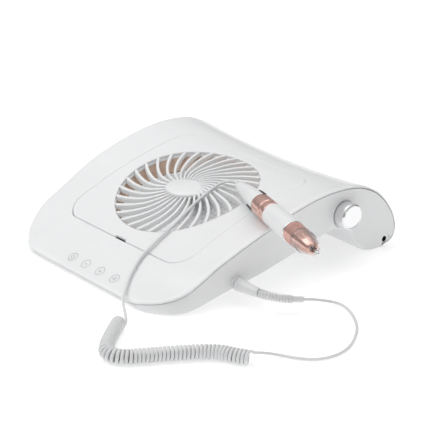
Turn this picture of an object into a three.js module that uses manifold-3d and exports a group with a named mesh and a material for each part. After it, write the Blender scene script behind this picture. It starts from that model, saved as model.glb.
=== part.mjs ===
// Table-top nail dust collector with a plug-in nail drill: a wave-shaped housing that the hand rests
// on, a suction fan behind a pinwheel grille, and a handpiece on a curly cord.
// Millimetres, +Z up. The frame's origin is the centre of the front foot strip, on the table.
import * as THREE from "three";
import { mergeVertices } from "three/addons/utils/BufferGeometryUtils.js";
import Module from "manifold-3d";

const wasm = await Module();
wasm.setup();

// ---- Driving dimensions ----
const GAP = 0.3;
const SEAM_GAP = 0.6;
const WALL = 2.5;
const COVER = 2.2;
const COVER_EDGE = 0.8;
const EDGE_ROUNDING = 6;
const HALF_WIDTH = 120;
const FRONT_HALF_WIDTH = 114.5;
const TAPER_FROM_Y = -20;
const CORNER_Y = -86;
const CORNER_RADIUS = 50;
const FRONT_Y = -136;
const FOOT_Y = -122;
const REAR_FOOT_Y = 110;
const FOOT_THICKNESS = 0.7;
const UNDERSIDE_TILT = Math.atan(0.207);
const FAN = { x: -1.5, y: -12, z: 21.6 };
const GRILLE_RADIUS = 68;
const GRILLE_RIBS = 32;
const HUB_RADIUS = 20;
const FILTER_COVER = { halfWidth: 84, front: -93, rear: 66, corner: 21 };
const KEYS = { y: -124.5, radius: 5, x: { power: -28.4, minus: -9.1, plus: 11.2, light: 32 } };
const KNOB = { y: 66.6, z: 48.5, radius: 12.2, face: 132.5 };
const JACK = { y: 120.8, z: 8, radius: 3.7 };
const LED = { y: 127, z: 8.8, radius: 1.1 };
const SOCKET = { y: -58, z: 17.4, radius: 6 };
const SCREWS = { x: 104, y: [-62, 44] };
const CORD_RADIUS = 1.6;
const COIL_RADIUS = 6.6;
const HANDPIECE_TAIL = new THREE.Vector3(46.6, 6.4, 69.4);
const HANDPIECE_DIRECTION = new THREE.Vector3(0.943, -0.33, 0.03).normalize();

// Housing profiles as (y, z) points: the side seam, the seam surface's centre line, and the underside.
const SIDE_SEAM = [
  [-136, 5.6], [-132.5, 8], [-123.5, 11.4], [-108.6, 18], [-91, 28.8], [-59, 43.4], [-33, 54],
  [7, 65.6], [35, 70.6], [60, 71.6], [87, 67.9], [108, 57.8], [122, 43.9], [131.5, 28],
  [134, 14], [129.5, 6.2], [118, 3.5],
];
const CENTRE_LINE = [
  [-136, 5.6], [-132.5, 6.9], [-124, 10.4], [-110, 18], [-94, 27.2], [-60, 40.3], [-33, 48.2],
  [7, 57], [35, 61.6], [60, 63.6], [86, 61], [106.5, 52.4], [120, 40.6], [129.5, 27],
  [132.5, 14], [128.8, 6.4], [118, 3.5],
];
const UNDERSIDE = [
  [-136, 3], [-133.5, 1], [-126, 1], [-114, 1], [-96, 4.2], [-60, 11.7], [-33, 17.3],
  [7, 25.6], [35, 31.4], [57, 35.6], [70, 32.6], [79.7, 21.5], [87.4, 11], [95, 3.8],
  [104, 1.2], [111, 1], [117.5, 1],
];

// Route of the cord: plug and relief, the loop on the table, the coiled stretch, and the stretch
// that climbs over the front lip and lies across the cover up to the handpiece.
const RELIEF_ROUTE = [
  [120.6, -58, 17.4], [132, -57.4, 17.2], [143, -55.6, 16.6], [153, -50.5, 15.3],
  [161, -42.2, 13.5], [165.6, -33.6, 11.9], [167.8, -26.5, 10.4],
];
const LOOP_ROUTE = [
  [167.9, -26, 10.3], [169.4, -17.5, 8], [171.6, -8.5, 5.2], [175.5, -0.8, 2.9], [183, 3.4, 1.8],
  [196.2, 0.2, 1.7], [210.1, -7.1, 1.7], [223.4, -17.3, 1.7], [235.1, -31.4, 1.7],
  [244.3, -47.8, 1.7], [247.4, -63, 1.7], [244.8, -77, 1.7], [239, -85.6, 1.7],
  [230.5, -92.4, 1.7], [220.5, -98.4, 1.9], [213.4, -105.6, 3.4], [210.6, -113.4, 5.8],
  [210, -120, 7.8],
];
const COIL_ROUTE = [
  [211.4, -127.4, 6.7], [200.5, -133.6, 6.7], [189.8, -138.7, 6.7], [180.6, -147.2, 6.7],
  [173.2, -157.6, 6.7], [166, -168.6, 6.7], [159.4, -179.2, 6.7], [152.6, -190.6, 6.7],
  [145.5, -201.5, 6.7], [137.6, -207.8, 6.7], [128.4, -207.6, 6.7], [120.2, -201, 6.7],
  [113.6, -193.8, 6.7], [106.2, -184.6, 6.7], [99, -175.2, 6.7], [92.9, -166.6, 6.7],
];
const UPPER_ROUTE = [
  [93.4, -160.4, 9.6], [86.6, -156.2, 10.6], [78.8, -151.2, 11], [70.4, -145.4, 11.2],
  [62.6, -138, 11.6], [55.4, -130, 13.4], [49.8, -123.2, 16.2], [44.5, -113.4, 21.2],
  [40.9, -103.4, 27], [40, -94.6, 32.1], [38.6, -84.2, 36.8], [37.2, -73.6, 40.7],
  [35.6, -62.9, 44.3], [30, -41.5, 51], [25.4, -24, 55.8], [22.6, -9.8, 59.2],
  [21.6, 0.8, 61.9], [24.2, 6.9, 64.6], [30.6, 9.8, 67.3], [38.4, 9.2, 69.1], [46.2, 6.5, 69.4],
];

// ---- Materials ----
function plastic(color, roughness = 0.45) {
  return new THREE.MeshStandardMaterial({ color, roughness, metalness: 0 });
}

function metal(color, roughness = 0.3) {
  return new THREE.MeshStandardMaterial({ color, roughness, metalness: 1 });
}

const WHITE = 0xf1f1f1;
const ROSE_GOLD = 0xc98f80;
const CHROME = 0xd8d8da;
const DARK = 0x1b1b1d;

// ---- Solids ----
function solidOf(geometry) {
  const bare = geometry.clone();
  bare.deleteAttribute("normal");
  bare.deleteAttribute("uv");
  const merged = mergeVertices(bare, 1e-4);
  return new wasm.Manifold(
    new wasm.Mesh({
      numProp: 3,
      vertProperties: new Float32Array(merged.attributes.position.array),
      triVerts: new Uint32Array(merged.index.array),
    }),
  );
}

function geometryOf(solid) {
  const data = solid.getMesh();
  const geometry = new THREE.BufferGeometry();
  geometry.setAttribute("position", new THREE.BufferAttribute(data.vertProperties, 3));
  geometry.setIndex(new THREE.BufferAttribute(data.triVerts, 1));
  geometry.computeVertexNormals();
  return geometry;
}

function addMesh(group, name, shape, material) {
  const geometry = shape.isBufferGeometry ? shape : geometryOf(shape);
  const mesh = new THREE.Mesh(geometry, material);
  mesh.name = name;
  group.add(mesh);
  return mesh;
}

// A turned piece about +Z: its profile holds (radius, z) points and closes on itself or on the axis.
function turned(profile, sides = 20) {
  const points = profile.map(([radius, z]) => new THREE.Vector2(radius, z));
  if (profile[0][0] > 0) {
    points.push(points[0].clone());
  }
  return new THREE.LatheGeometry(points, sides).rotateX(Math.PI / 2);
}

function washer(inner, outer, low, high, sides = 20) {
  return turned([[inner, low], [outer, low], [outer, high], [inner, high]], sides);
}

function rod(radius, low, high, sides = 20) {
  return turned([[0, low], [radius, low], [radius, high], [0, high]], sides);
}

function box(lowX, lowY, lowZ, highX, highY, highZ) {
  return new THREE.BoxGeometry(highX - lowX, highY - lowY, highZ - lowZ).translate(
    (lowX + highX) / 2,
    (lowY + highY) / 2,
    (lowZ + highZ) / 2,
  );
}

// Turns a piece made about +Z so that it lies along +X.
function alongX(geometry) {
  return geometry.rotateY(Math.PI / 2);
}

// Closed body between section loops of equal length, capped by fans about the end loops' centres.
function loft(loops) {
  const count = loops[0].length;
  const positions = loops.flat().flatMap((point) => point.toArray());
  const index = [];
  for (let i = 0; i + 1 < loops.length; i += 1) {
    for (let j = 0; j < count; j += 1) {
      const a = i * count + j;
      const b = i * count + ((j + 1) % count);
      index.push(a, b, b + count, a, b + count, a + count);
    }
  }
  const ends = [[loops[0], 0, true], [loops.at(-1), (loops.length - 1) * count, false]];
  for (const [loop, start, turn] of ends) {
    const middle = new THREE.Vector3();
    loop.forEach((point) => middle.addScaledVector(point, 1 / count));
    const centre = positions.length / 3;
    positions.push(...middle.toArray());
    for (let j = 0; j < count; j += 1) {
      const a = start + j;
      const b = start + ((j + 1) % count);
      index.push(...(turn ? [b, a, centre] : [a, b, centre]));
    }
  }
  const geometry = new THREE.BufferGeometry();
  geometry.setAttribute("position", new THREE.Float32BufferAttribute(positions, 3));
  geometry.setIndex(index);
  return geometry;
}

// ---- Housing surface ----
function profileCurve(points) {
  return new THREE.CatmullRomCurve3(points.map(([y, z]) => new THREE.Vector3(0, y, z)));
}

const sideSeam = profileCurve(SIDE_SEAM);
const centreLine = profileCurve(CENTRE_LINE);
const underside = profileCurve(UNDERSIDE);

function halfWidth(y) {
  if (y >= CORNER_Y) {
    const taper = THREE.MathUtils.smoothstep(-y, -TAPER_FROM_Y, -CORNER_Y);
    return HALF_WIDTH - (HALF_WIDTH - FRONT_HALF_WIDTH) * taper;
  }
  const reach = Math.min(CORNER_Y - y, CORNER_RADIUS);
  return FRONT_HALF_WIDTH - CORNER_RADIUS + Math.sqrt(CORNER_RADIUS ** 2 - reach ** 2);
}

// Seam surface: u runs from -1 to 1 across the housing, t from 0 at the front to 1 under the rear.
function seamPoint(u, t) {
  const side = sideSeam.getPoint(t);
  const point = centreLine.getPoint(t).lerp(side, u * u);
  point.x = u * halfWidth(side.y);
  return point;
}

function seamNormal(u, t) {
  const step = 0.004;
  const across = seamPoint(Math.min(u + step, 1), t).sub(seamPoint(Math.max(u - step, -1), t));
  const along = seamPoint(u, Math.min(t + step, 1)).sub(seamPoint(u, Math.max(t - step, 0)));
  return across.cross(along).normalize();
}

function offsetPoint(u, t, rise) {
  return seamPoint(u, t).addScaledVector(seamNormal(u, t), rise);
}

function skinRise(u, t) {
  const point = seamPoint(u, t);
  const toSide = (1 - Math.abs(u)) * halfWidth(point.y);
  const toFront = t < 0.5 ? point.y - FRONT_Y : EDGE_ROUNDING;
  const inward = Math.min(toSide, toFront, EDGE_ROUNDING) / EDGE_ROUNDING;
  return COVER_EDGE + (COVER - COVER_EDGE) * Math.sqrt(inward * (2 - inward));
}

// Height of the seam surface over a plan point in front of the crest's roll.
function seamHeight(x, y) {
  let low = 0;
  let high = 0.62;
  for (let i = 0; i < 30; i += 1) {
    const middle = (low + high) / 2;
    const u = THREE.MathUtils.clamp(x / halfWidth(sideSeam.getPoint(middle).y), -1, 1);
    if (seamPoint(u, middle).y < y) {
      low = middle;
    } else {
      high = middle;
    }
  }
  const u = THREE.MathUtils.clamp(x / halfWidth(sideSeam.getPoint(low).y), -1, 1);
  return seamPoint(u, low).z;
}

const COLUMNS = [-1, -0.97, -0.7, -0.35, 0, 0.35, 0.7, 0.97, 1];
const ROWS = Array.from({ length: 24 }, (_, i) => (i / 23) ** 1.3);
const COVER_END = 0.975;
const COVER_ROWS = [...ROWS.filter((t) => t < COVER_END - 0.02), COVER_END];

// Sheet that follows the housing surface between two offsets from it.
function sheet(lowRise, highRise, rows = COVER_ROWS) {
  const loops = rows.map((t) => [
    ...COLUMNS.map((u) => offsetPoint(u, t, lowRise(u, t))),
    ...COLUMNS.toReversed().map((u) => offsetPoint(u, t, highRise(u, t))),
  ]);
  return solidOf(loft(loops.map((loop) => loop.toReversed())));
}

// ---- Lower shell ----
// Section of the tub at t, set in from the outer faces by `inset`.
function tubSection(t, inset, topRise) {
  const width = halfWidth(sideSeam.getPoint(t).y) - inset;
  const side = seamPoint(1, t).setX(0);
  const floor = underside.getPoint(t);
  const up = side.clone().sub(floor);
  const depth = up.length();
  up.normalize();
  floor.addScaledVector(up, inset);
  const fillet = Math.max(0.4, Math.min(10, 0.45 * depth) - inset);
  const top = COLUMNS.map((u) => {
    const point = offsetPoint(u, t, topRise);
    return point.setX(u * width);
  });
  const corner = [];
  for (let k = 0; k <= 4; k += 1) {
    const angle = (k / 4) * (Math.PI / 2);
    const point = floor.clone().addScaledVector(up, fillet * (1 - Math.sin(angle)));
    corner.push(point.setX(width - fillet * (1 - Math.cos(angle))));
  }
  const mirrored = corner.toReversed().map((point) => point.clone().setX(-point.x));
  return [...top, ...corner, ...mirrored];
}

function tubSolid(rows, inset, topRise) {
  return solidOf(loft(rows.map((t) => tubSection(t, inset, topRise))));
}

function exhaustSlots() {
  const slots = [];
  for (const [y, low, high] of [[59.5, 30, 42], [65.2, 27, 42], [70.9, 24, 42]]) {
    for (let bay = -2; bay < 2; bay += 1) {
      slots.push(box(bay * 61 + 5, y - 1.3, low, bay * 61 + 56, y + 1.3, high));
    }
  }
  return slots;
}

function tilted() {
  const group = new THREE.Group();
  group.position.set(FAN.x, FAN.y, FAN.z);
  group.rotation.x = UNDERSIDE_TILT;
  group.updateMatrix();
  return group;
}

// Geometry given in the fan's tilted frame, moved into the housing frame.
function fromTilted(geometry) {
  return geometry.clone().applyMatrix4(tilted().matrix);
}

function screwPlace(side, y) {
  return { x: side * SCREWS.x - FAN.x, y: (y - FAN.y) / Math.cos(UNDERSIDE_TILT) };
}

function eachScrew(act) {
  for (const [side, sideName] of [[-1, "left"], [1, "right"]]) {
    SCREWS.y.forEach((y, row) => act(screwPlace(side, y), `${row ? "rear" : "front"}_${sideName}`));
  }
}

function lowerShell() {
  const cavityRows = [0.085, ...ROWS.filter((t) => t > 0.1 && t < 0.93), 0.95];
  let shell = tubSolid(ROWS, 0, -SEAM_GAP).subtract(tubSolid(cavityRows, WALL, 5));
  const holes = [
    alongX(rod(5, 110, 124)).translate(0, KNOB.y, KNOB.z),
    alongX(rod(JACK.radius + GAP, 110, 124)).translate(0, JACK.y, JACK.z),
    alongX(rod(LED.radius + GAP, 110, 124)).translate(0, LED.y, LED.z),
    alongX(rod(SOCKET.radius + GAP, 108, 124)).translate(0, SOCKET.y, SOCKET.z),
    ...exhaustSlots(),
  ];
  eachScrew(({ x, y }) => {
    holes.push(fromTilted(rod(1.8, -2, 4, 10).translate(x, y, 0)));
    holes.push(fromTilted(rod(3.2, -2, 1.4, 12).translate(x, y, 0)));
  });
  for (const hole of holes) {
    shell = shell.subtract(solidOf(hole));
  }
  return shell;
}

// ---- Covers ----
// The filter cover rests on a ledge that reaches in and out from its outline.
const LEDGE_REACH = 5;
const LEDGE_FLOOR = -2.4;

function outlinePrism(grow) {
  const { halfWidth: half, front, rear, corner } = FILTER_COVER;
  const wide = half + grow;
  const round = corner + grow;
  const shape = new THREE.Shape();
  shape.moveTo(-wide + round, front - grow);
  shape.absarc(wide - round, front - grow + round, round, -Math.PI / 2, 0);
  shape.absarc(wide - round, rear + grow - round, round, 0, Math.PI / 2);
  shape.absarc(-wide + round, rear + grow - round, round, Math.PI / 2, Math.PI);
  shape.absarc(-wide + round, front - grow + round, round, Math.PI, 1.5 * Math.PI);
  return solidOf(prism(shape, 0, 120, 4));
}

function keyCylinder(x, radius) {
  return solidOf(rod(radius, 0, 30, 14).translate(x, KEYS.y, 0));
}

function topCover(skin) {
  const rows = ROWS.filter((t) => t < 0.66);
  const around = outlinePrism(LEDGE_REACH);
  const within = outlinePrism(-LEDGE_REACH);
  const ledge = sheet(() => LEDGE_FLOOR, () => -SEAM_GAP, rows).intersect(around).subtract(within);
  const web = sheet(() => LEDGE_FLOOR, () => 0.6, rows).intersect(around).subtract(outlinePrism(0));
  let cover = skin.subtract(outlinePrism(0)).add(web).add(ledge);
  for (const x of Object.values(KEYS.x)) {
    cover = cover.subtract(keyCylinder(x, KEYS.radius + GAP));
  }
  const reach = sheet(() => -60, () => 1, rows);
  eachScrew(({ x, y }) => {
    const post = solidOf(fromTilted(rod(4, 3.4, 60, 10).translate(x, y, 0))).intersect(reach);
    cover = cover.add(post).subtract(solidOf(fromTilted(rod(1.8, 0, 16, 10).translate(x, y, 0))));
  });
  return cover;
}

function filterCover(skin) {
  const opening = solidOf(rod(GRILLE_RADIUS, 0, 120, 36).translate(FAN.x, FAN.y, 0));
  const fingerNotch = solidOf(box(-7, -94, 0, 7, -90, 120));
  return skin.intersect(outlinePrism(-GAP)).subtract(opening).subtract(fingerNotch);
}

// Point of the grille at a radius and angle about its centre, at a height above the seam surface.
function grillePoint(radius, angle, rise) {
  const x = FAN.x + radius * Math.cos(angle);
  const y = FAN.y + radius * Math.sin(angle);
  return new THREE.Vector3(x, y, seamHeight(x, y) + rise);
}

function grilleRing() {
  const outer = GRILLE_RADIUS - 0.8;
  const inner = outer - 3.2;
  const sides = 36;
  const loops = [];
  for (let i = 0; i < sides; i += 1) {
    const angle = (i / sides) * 2 * Math.PI;
    loops.push([
      grillePoint(outer, angle, -1.5),
      grillePoint(outer, angle, COVER),
      grillePoint(inner, angle, COVER),
      grillePoint(inner, angle, -1.5),
    ]);
  }
  const positions = loops.flat().flatMap((point) => point.toArray());
  const index = [];
  for (let i = 0; i < sides; i += 1) {
    for (let j = 0; j < 4; j += 1) {
      const a = i * 4 + j;
      const b = i * 4 + ((j + 1) % 4);
      const c = ((i + 1) % sides) * 4 + j;
      const d = ((i + 1) % sides) * 4 + ((j + 1) % 4);
      index.push(a, d, b, a, c, d);
    }
  }
  const geometry = new THREE.BufferGeometry();
  geometry.setAttribute("position", new THREE.Float32BufferAttribute(positions, 3));
  geometry.setIndex(index);
  return solidOf(geometry);
}

function grilleRib(start) {
  const stations = 3;
  const sweep = THREE.MathUtils.degToRad(34);
  const inner = HUB_RADIUS - 3;
  const outer = GRILLE_RADIUS - 2;
  const loops = [];
  for (let i = 0; i <= stations; i += 1) {
    const share = i / stations;
    const radius = inner + (outer - inner) * share;
    const angle = start - sweep * share ** 0.8;
    const half = THREE.MathUtils.lerp(1.1, 1.8, share) / radius;
    loops.push([
      grillePoint(radius, angle - half, -0.6),
      grillePoint(radius, angle + half, -0.6),
      grillePoint(radius, angle + half, COVER - 0.1),
      grillePoint(radius, angle - half, COVER - 0.1),
    ]);
  }
  return solidOf(loft(loops));
}

function fanGrille() {
  let grille = grilleRing();
  for (let i = 0; i < GRILLE_RIBS; i += 1) {
    grille = grille.add(grilleRib((i / GRILLE_RIBS) * 2 * Math.PI));
  }
  const top = seamHeight(FAN.x, FAN.y) + COVER;
  const hub = turned([
    [0, top - 3], [HUB_RADIUS, top - 3], [HUB_RADIUS, top + 1], [HUB_RADIUS - 3, top + 3.2],
    [HUB_RADIUS / 2, top + 4.6], [0, top + 5],
  ]).translate(FAN.x, FAN.y, 0);
  return grille.add(solidOf(hub));
}

// ---- Fan and filter, in the tilted frame whose z = 0 is the housing's underside ----
function voluteShape(inset, outlet) {
  const radius = 57 - inset;
  const left = 12 + inset;
  const start = Math.acos(left / radius);
  const shape = new THREE.Shape();
  shape.moveTo(radius, 0);
  shape.lineTo(radius, outlet);
  shape.lineTo(left, outlet);
  shape.absarc(0, 0, radius, start, 2 * Math.PI);
  return shape;
}

function prism(shape, low, high, curveSegments = 24) {
  const options = { depth: high - low, bevelEnabled: false, curveSegments };
  return new THREE.ExtrudeGeometry(shape, options).translate(0, 0, low);
}

function fanVolute() {
  const outer = solidOf(prism(voluteShape(0, 64), 2.9, 16.4));
  return outer.subtract(solidOf(prism(voluteShape(1.8, 70), 4.7, 20)));
}

function impeller() {
  let wheel = solidOf(turned([
    [1.8, 14], [17.6, 14], [17.6, 6.4], [50, 6.4], [50, 7.8], [20, 7.8], [20, 15.4], [1.8, 15.4],
  ]));
  for (let i = 0; i < 12; i += 1) {
    const blade = new THREE.BoxGeometry(15, 1.4, 8.2);
    blade.rotateZ(THREE.MathUtils.degToRad(38)).translate(43, 0, 11.3);
    wheel = wheel.add(solidOf(blade.rotateZ((i / 12) * 2 * Math.PI)));
  }
  return wheel;
}

function buildFan(group) {
  addMesh(group, "fan_volute", fanVolute(), plastic(0xe6e6e4));
  const lid = solidOf(prism(voluteShape(0, 64), 16.7, 18.3)).subtract(solidOf(rod(38, 10, 20, 40)));
  addMesh(group, "volute_lid", lid, plastic(0xe6e6e4));
  addMesh(group, "fan_motor", washer(4.3, 16, 5, 13.5), metal(0x9a9a9c));
  addMesh(group, "fan_bearing", washer(1.9, 4, 7, 10, 24), metal(CHROME));
  addMesh(group, "fan_shaft", rod(1.5, 5.4, 15.2, 16), metal(CHROME));
  addMesh(group, "fan_impeller", impeller(), plastic(DARK));
  const frame = [[56, 19.4], [63.5, 19.4], [63.5, 23.4], [59.6, 23.4], [59.6, 20.2], [56, 20.2]];
  addMesh(group, "filter_frame", turned(frame, 28), plastic(0xcaa892));
  addMesh(group, "filter_media", rod(58.6, 20.5, 22.4, 28), plastic(0xd9dad9, 0.9));
}

function buildElectronics(group, housing) {
  let board = solidOf(box(68, -36, 5, 112, 44, 6.6));
  const parts = [
    box(74, -30, 6, 90, -14, 15),
    box(96, -32, 6, 104, -16, 13),
    box(76, 4, 6, 100, 12, 11),
    rod(5, 6, 18, 16).translate(102, 28, 0),
    rod(4, 6, 16, 16).translate(88, 30, 0),
  ];
  for (const part of parts) {
    board = board.add(solidOf(part));
  }
  addMesh(group, "main_board", board, plastic(0x1f6b46));
  const touchBoard = new THREE.BoxGeometry(82, 9, 1.2).rotateX(Math.atan(0.42));
  addMesh(housing, "touch_board", touchBoard.translate(1.5, KEYS.y + 0.8, 7.3), plastic(0x1f6b46));
}

// ---- Controls and sockets on the right-hand side ----
function buildControls(housing) {
  const at = (geometry, place) => alongX(geometry).translate(0, place.y, place.z);
  const potBody = solidOf(box(103, KNOB.y - 8, KNOB.z - 8, 113, KNOB.y + 8, KNOB.z + 8));
  const bushing = at(rod(4.6, 112, 125.5), KNOB);
  const potBore = at(rod(3.3, 105, 130), KNOB);
  const pot = potBody.add(solidOf(bushing)).subtract(solidOf(potBore));
  addMesh(housing, "speed_potentiometer", pot, metal(0x8f8f92));
  addMesh(housing, "potentiometer_nut", at(washer(5.6, 7.6, 121.6, 124, 6), KNOB), metal(CHROME));
  addMesh(housing, "potentiometer_shaft", at(rod(3, 106, 129.4), KNOB), metal(CHROME));
  addMesh(housing, "knob_bezel", at(washer(13, 15.5, 120.3, 121.5, 28), KNOB), metal(CHROME));
  const face = KNOB.face;
  const rim = KNOB.radius;
  const knob = [
    [3.3, 126.2], [8.6, 126.2], [8.6, 120.9], [rim, 120.9], [rim, face - 1], [rim - 1.4, face],
    [0, face - 0.6], [0, 129.8], [3.3, 129.8],
  ];
  addMesh(housing, "speed_knob", at(turned(knob, 28), KNOB), metal(CHROME, 0.2));
  const jack = [
    [0, 107], [JACK.radius, 107], [JACK.radius, 120.2], [2.8, 120.2], [2.8, 110], [1, 110], [1, 119],
    [0, 119],
  ];
  addMesh(housing, "dc_jack", at(turned(jack, 16), JACK), plastic(DARK));
  addMesh(housing, "status_led", at(rod(LED.radius, 115, 120.3, 16), LED), plastic(0xbfe8c8, 0.2));
  const socket = [[3.4, 110], [SOCKET.radius, 110], [SOCKET.radius, 119.6], [3.4, 119.6]];
  addMesh(housing, "handpiece_socket", at(turned(socket, 24), SOCKET), plastic(0x3a3a3c));
}

function buildFeet(housing) {
  const rubber = plastic(DARK, 0.9);
  const front = box(-75, FOOT_Y - 4, 0, 75, FOOT_Y + 4, FOOT_THICKNESS);
  addMesh(housing, "front_foot_strip", front, rubber);
  const rear = box(-95, REAR_FOOT_Y - 4, 0, 95, REAR_FOOT_Y + 4, FOOT_THICKNESS);
  addMesh(housing, "rear_foot_strip", rear, rubber.clone());
}

function buildScrews(group) {
  eachScrew(({ x, y }, name) => {
    const screw = turned([[0, 0.1], [2.9, 0.1], [2.9, 1.1], [1.5, 1.1], [1.5, 13], [0, 13]], 10);
    addMesh(group, `case_screw_${name}`, screw.translate(x, y, 0), metal(0xb0b0b4));
  });
}

// ---- Cord ----
function routeCurve(points) {
  return new THREE.CatmullRomCurve3(points.map((point) => new THREE.Vector3(...point)));
}

// The stretch of a curve between two lengths measured along it.
class Stretch extends THREE.Curve {
  constructor(curve, from, to) {
    super();
    this.curve = curve;
    this.from = from / curve.getLength();
    this.to = to / curve.getLength();
  }

  getPoint(share, target = new THREE.Vector3()) {
    return this.curve.getPointAt(THREE.MathUtils.lerp(this.from, this.to, share), target);
  }
}

function tube(curve, radius, sides, steps) {
  const section = new THREE.Shape();
  for (let i = 0; i < sides; i += 1) {
    const angle = (i / sides) * 2 * Math.PI;
    const [x, y] = [radius * Math.cos(angle), radius * Math.sin(angle)];
    if (i === 0) {
      section.moveTo(x, y);
    } else {
      section.lineTo(x, y);
    }
  }
  return new THREE.ExtrudeGeometry(section, { steps, bevelEnabled: false, extrudePath: curve });
}

// Tapered piece along a curve, with its radius given as a function of the share along it.
function taperedAlong(curve, radiusAt, steps, sides = 12) {
  const frames = curve.computeFrenetFrames(steps, false);
  const loops = [];
  for (let i = 0; i <= steps; i += 1) {
    const centre = curve.getPointAt(i / steps);
    const loop = [];
    for (let j = 0; j < sides; j += 1) {
      const angle = (j / sides) * 2 * Math.PI;
      const radius = radiusAt(i / steps);
      const point = centre.clone().addScaledVector(frames.normals[i], radius * Math.cos(angle));
      loop.push(point.addScaledVector(frames.binormals[i], radius * Math.sin(angle)));
    }
    loops.push(loop);
  }
  return loft(loops);
}

function buildCord(housing) {
  const relief = routeCurve(RELIEF_ROUTE);
  const end = relief.getLength();
  const plug = taperedAlong(new Stretch(relief, 0, 23), (share) => 5.9 - 1.3 * share, 4);
  addMesh(housing, "cord_plug", plug, plastic(WHITE));
  const ribs = taperedAlong(new Stretch(relief, 23.3, end), (share) => 4.2 - 1.9 * share, 9);
  addMesh(housing, "strain_relief", ribs, plastic(WHITE));
  addMesh(housing, "cord_loop", tube(routeCurve(LOOP_ROUTE), CORD_RADIUS, 8, 32), plastic(WHITE));
  const coil = routeCurve(COIL_ROUTE);
  const total = coil.getLength();
  const cuts = [0, 0.58 * total, 0.75 * total, total];
  ["long", "bend", "short"].forEach((name, i) => {
    const from = cuts[i] + (i ? GAP / 2 : 0);
    const to = cuts[i + 1] - (i < 2 ? GAP / 2 : 0);
    const shape = tube(new Stretch(coil, from, to), COIL_RADIUS, 10, 8);
    addMesh(housing, `curly_cord_${name}`, shape, plastic(WHITE));
  });
  addMesh(housing, "cord_upper", tube(routeCurve(UPPER_ROUTE), CORD_RADIUS, 8, 40), plastic(WHITE));
}

// ---- Handpiece, made along +Z from its tail and laid along its axis ----
function buildHandpiece(housing) {
  const group = new THREE.Group();
  group.position.copy(HANDPIECE_TAIL);
  group.quaternion.setFromUnitVectors(new THREE.Vector3(0, 0, 1), HANDPIECE_DIRECTION);
  housing.add(group);
  const boot = [
    [0, 0], [2.6, 0], [4.2, 3], [5.6, 12], [7.4, 24], [8.8, 36], [9.5, 46], [9.6, 51.7], [0, 51.7],
  ];
  addMesh(group, "handpiece_boot", turned(boot, 28), plastic(WHITE));
  const rear = [
    [7, 52], [9.8, 52], [10, 53], [10, 68], [9.4, 68.8], [9.4, 70.2], [10, 71], [10, 77.7], [7, 77.7],
  ];
  addMesh(group, "handpiece_rear_ring", turned(rear), metal(ROSE_GOLD));
  addMesh(group, "handpiece_barrel", washer(8.2, 10.2, 78, 121), plastic(WHITE, 0.25));
  addMesh(group, "barrel_trim_ring", washer(8.2, 10.2, 121.3, 122.5), metal(CHROME));
  addMesh(group, "handpiece_motor", rod(7.8, 80, 118), metal(0x8f8f92));
  const lock = [[6.6, 122.8], [9.9, 122.8], [9.9, 124.4], [9.6, 125], [9.4, 137.2], [6.6, 137.2]];
  addMesh(group, "lock_ring", turned(lock), metal(ROSE_GOLD));
  const nose = [
    [4.5, 137.5], [8.6, 137.5], [8.2, 145], [7, 153], [5, 160], [2.9, 161.5], [2.9, 148], [4.5, 148],
  ];
  addMesh(group, "nose_cone", turned(nose), metal(ROSE_GOLD));
  const cap = [
    [9.2, 137.5], [10.2, 137.5], [10, 146], [8.9, 154], [7.2, 160.5], [5, 163.4], [2.2, 164.4],
    [2.2, 163.4], [4.4, 162.5], [6.4, 160], [8.1, 153.6], [9.1, 146],
  ];
  addMesh(group, "clear_nose_cap", turned(cap), plastic(0xf3e9e6, 0.1));
  addMesh(group, "front_bearing", washer(2.8, 4.2, 139.5, 146.5, 24), metal(CHROME));
  addMesh(group, "chuck_spindle", rod(2.5, 118.3, 157), metal(0xa0a0a4));
  const bit = [[0, 157.3], [1.2, 157.3], [1.2, 166], [1.6, 167], [1.6, 170], [0.9, 173], [0, 173]];
  addMesh(group, "drill_bit", turned(bit, 16), metal(0xb8b8bc));
}

// ---- Assembly ----
const dustCollector = new THREE.Group();
dustCollector.position.set(0, -FOOT_Y, 0);
const fanGroup = tilted();
dustCollector.add(fanGroup);

const skin = sheet(() => 0, skinRise);
addMesh(dustCollector, "lower_shell", lowerShell(), plastic(WHITE));
addMesh(dustCollector, "top_cover", topCover(skin), plastic(WHITE));
addMesh(dustCollector, "filter_cover", filterCover(skin), plastic(WHITE));
addMesh(dustCollector, "fan_grille", fanGrille(), plastic(WHITE));
for (const [name, x] of Object.entries(KEYS.x)) {
  const key = skin.intersect(keyCylinder(x, KEYS.radius));
  addMesh(dustCollector, `touch_key_${name}`, key, plastic(0xe4e4e4, 0.3));
}
buildFan(fanGroup);
buildElectronics(fanGroup, dustCollector);
buildScrews(fanGroup);
buildControls(dustCollector);
buildFeet(dustCollector);
buildCord(dustCollector);
buildHandpiece(dustCollector);

export default dustCollector;
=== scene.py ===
"""Nail dust collector with its drill handpiece: the looks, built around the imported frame.

Lengths in the builders below are millimetres in the housing's own frame, whose origin is the middle of
the housing on the table. place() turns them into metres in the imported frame.
"""
import math

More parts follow.
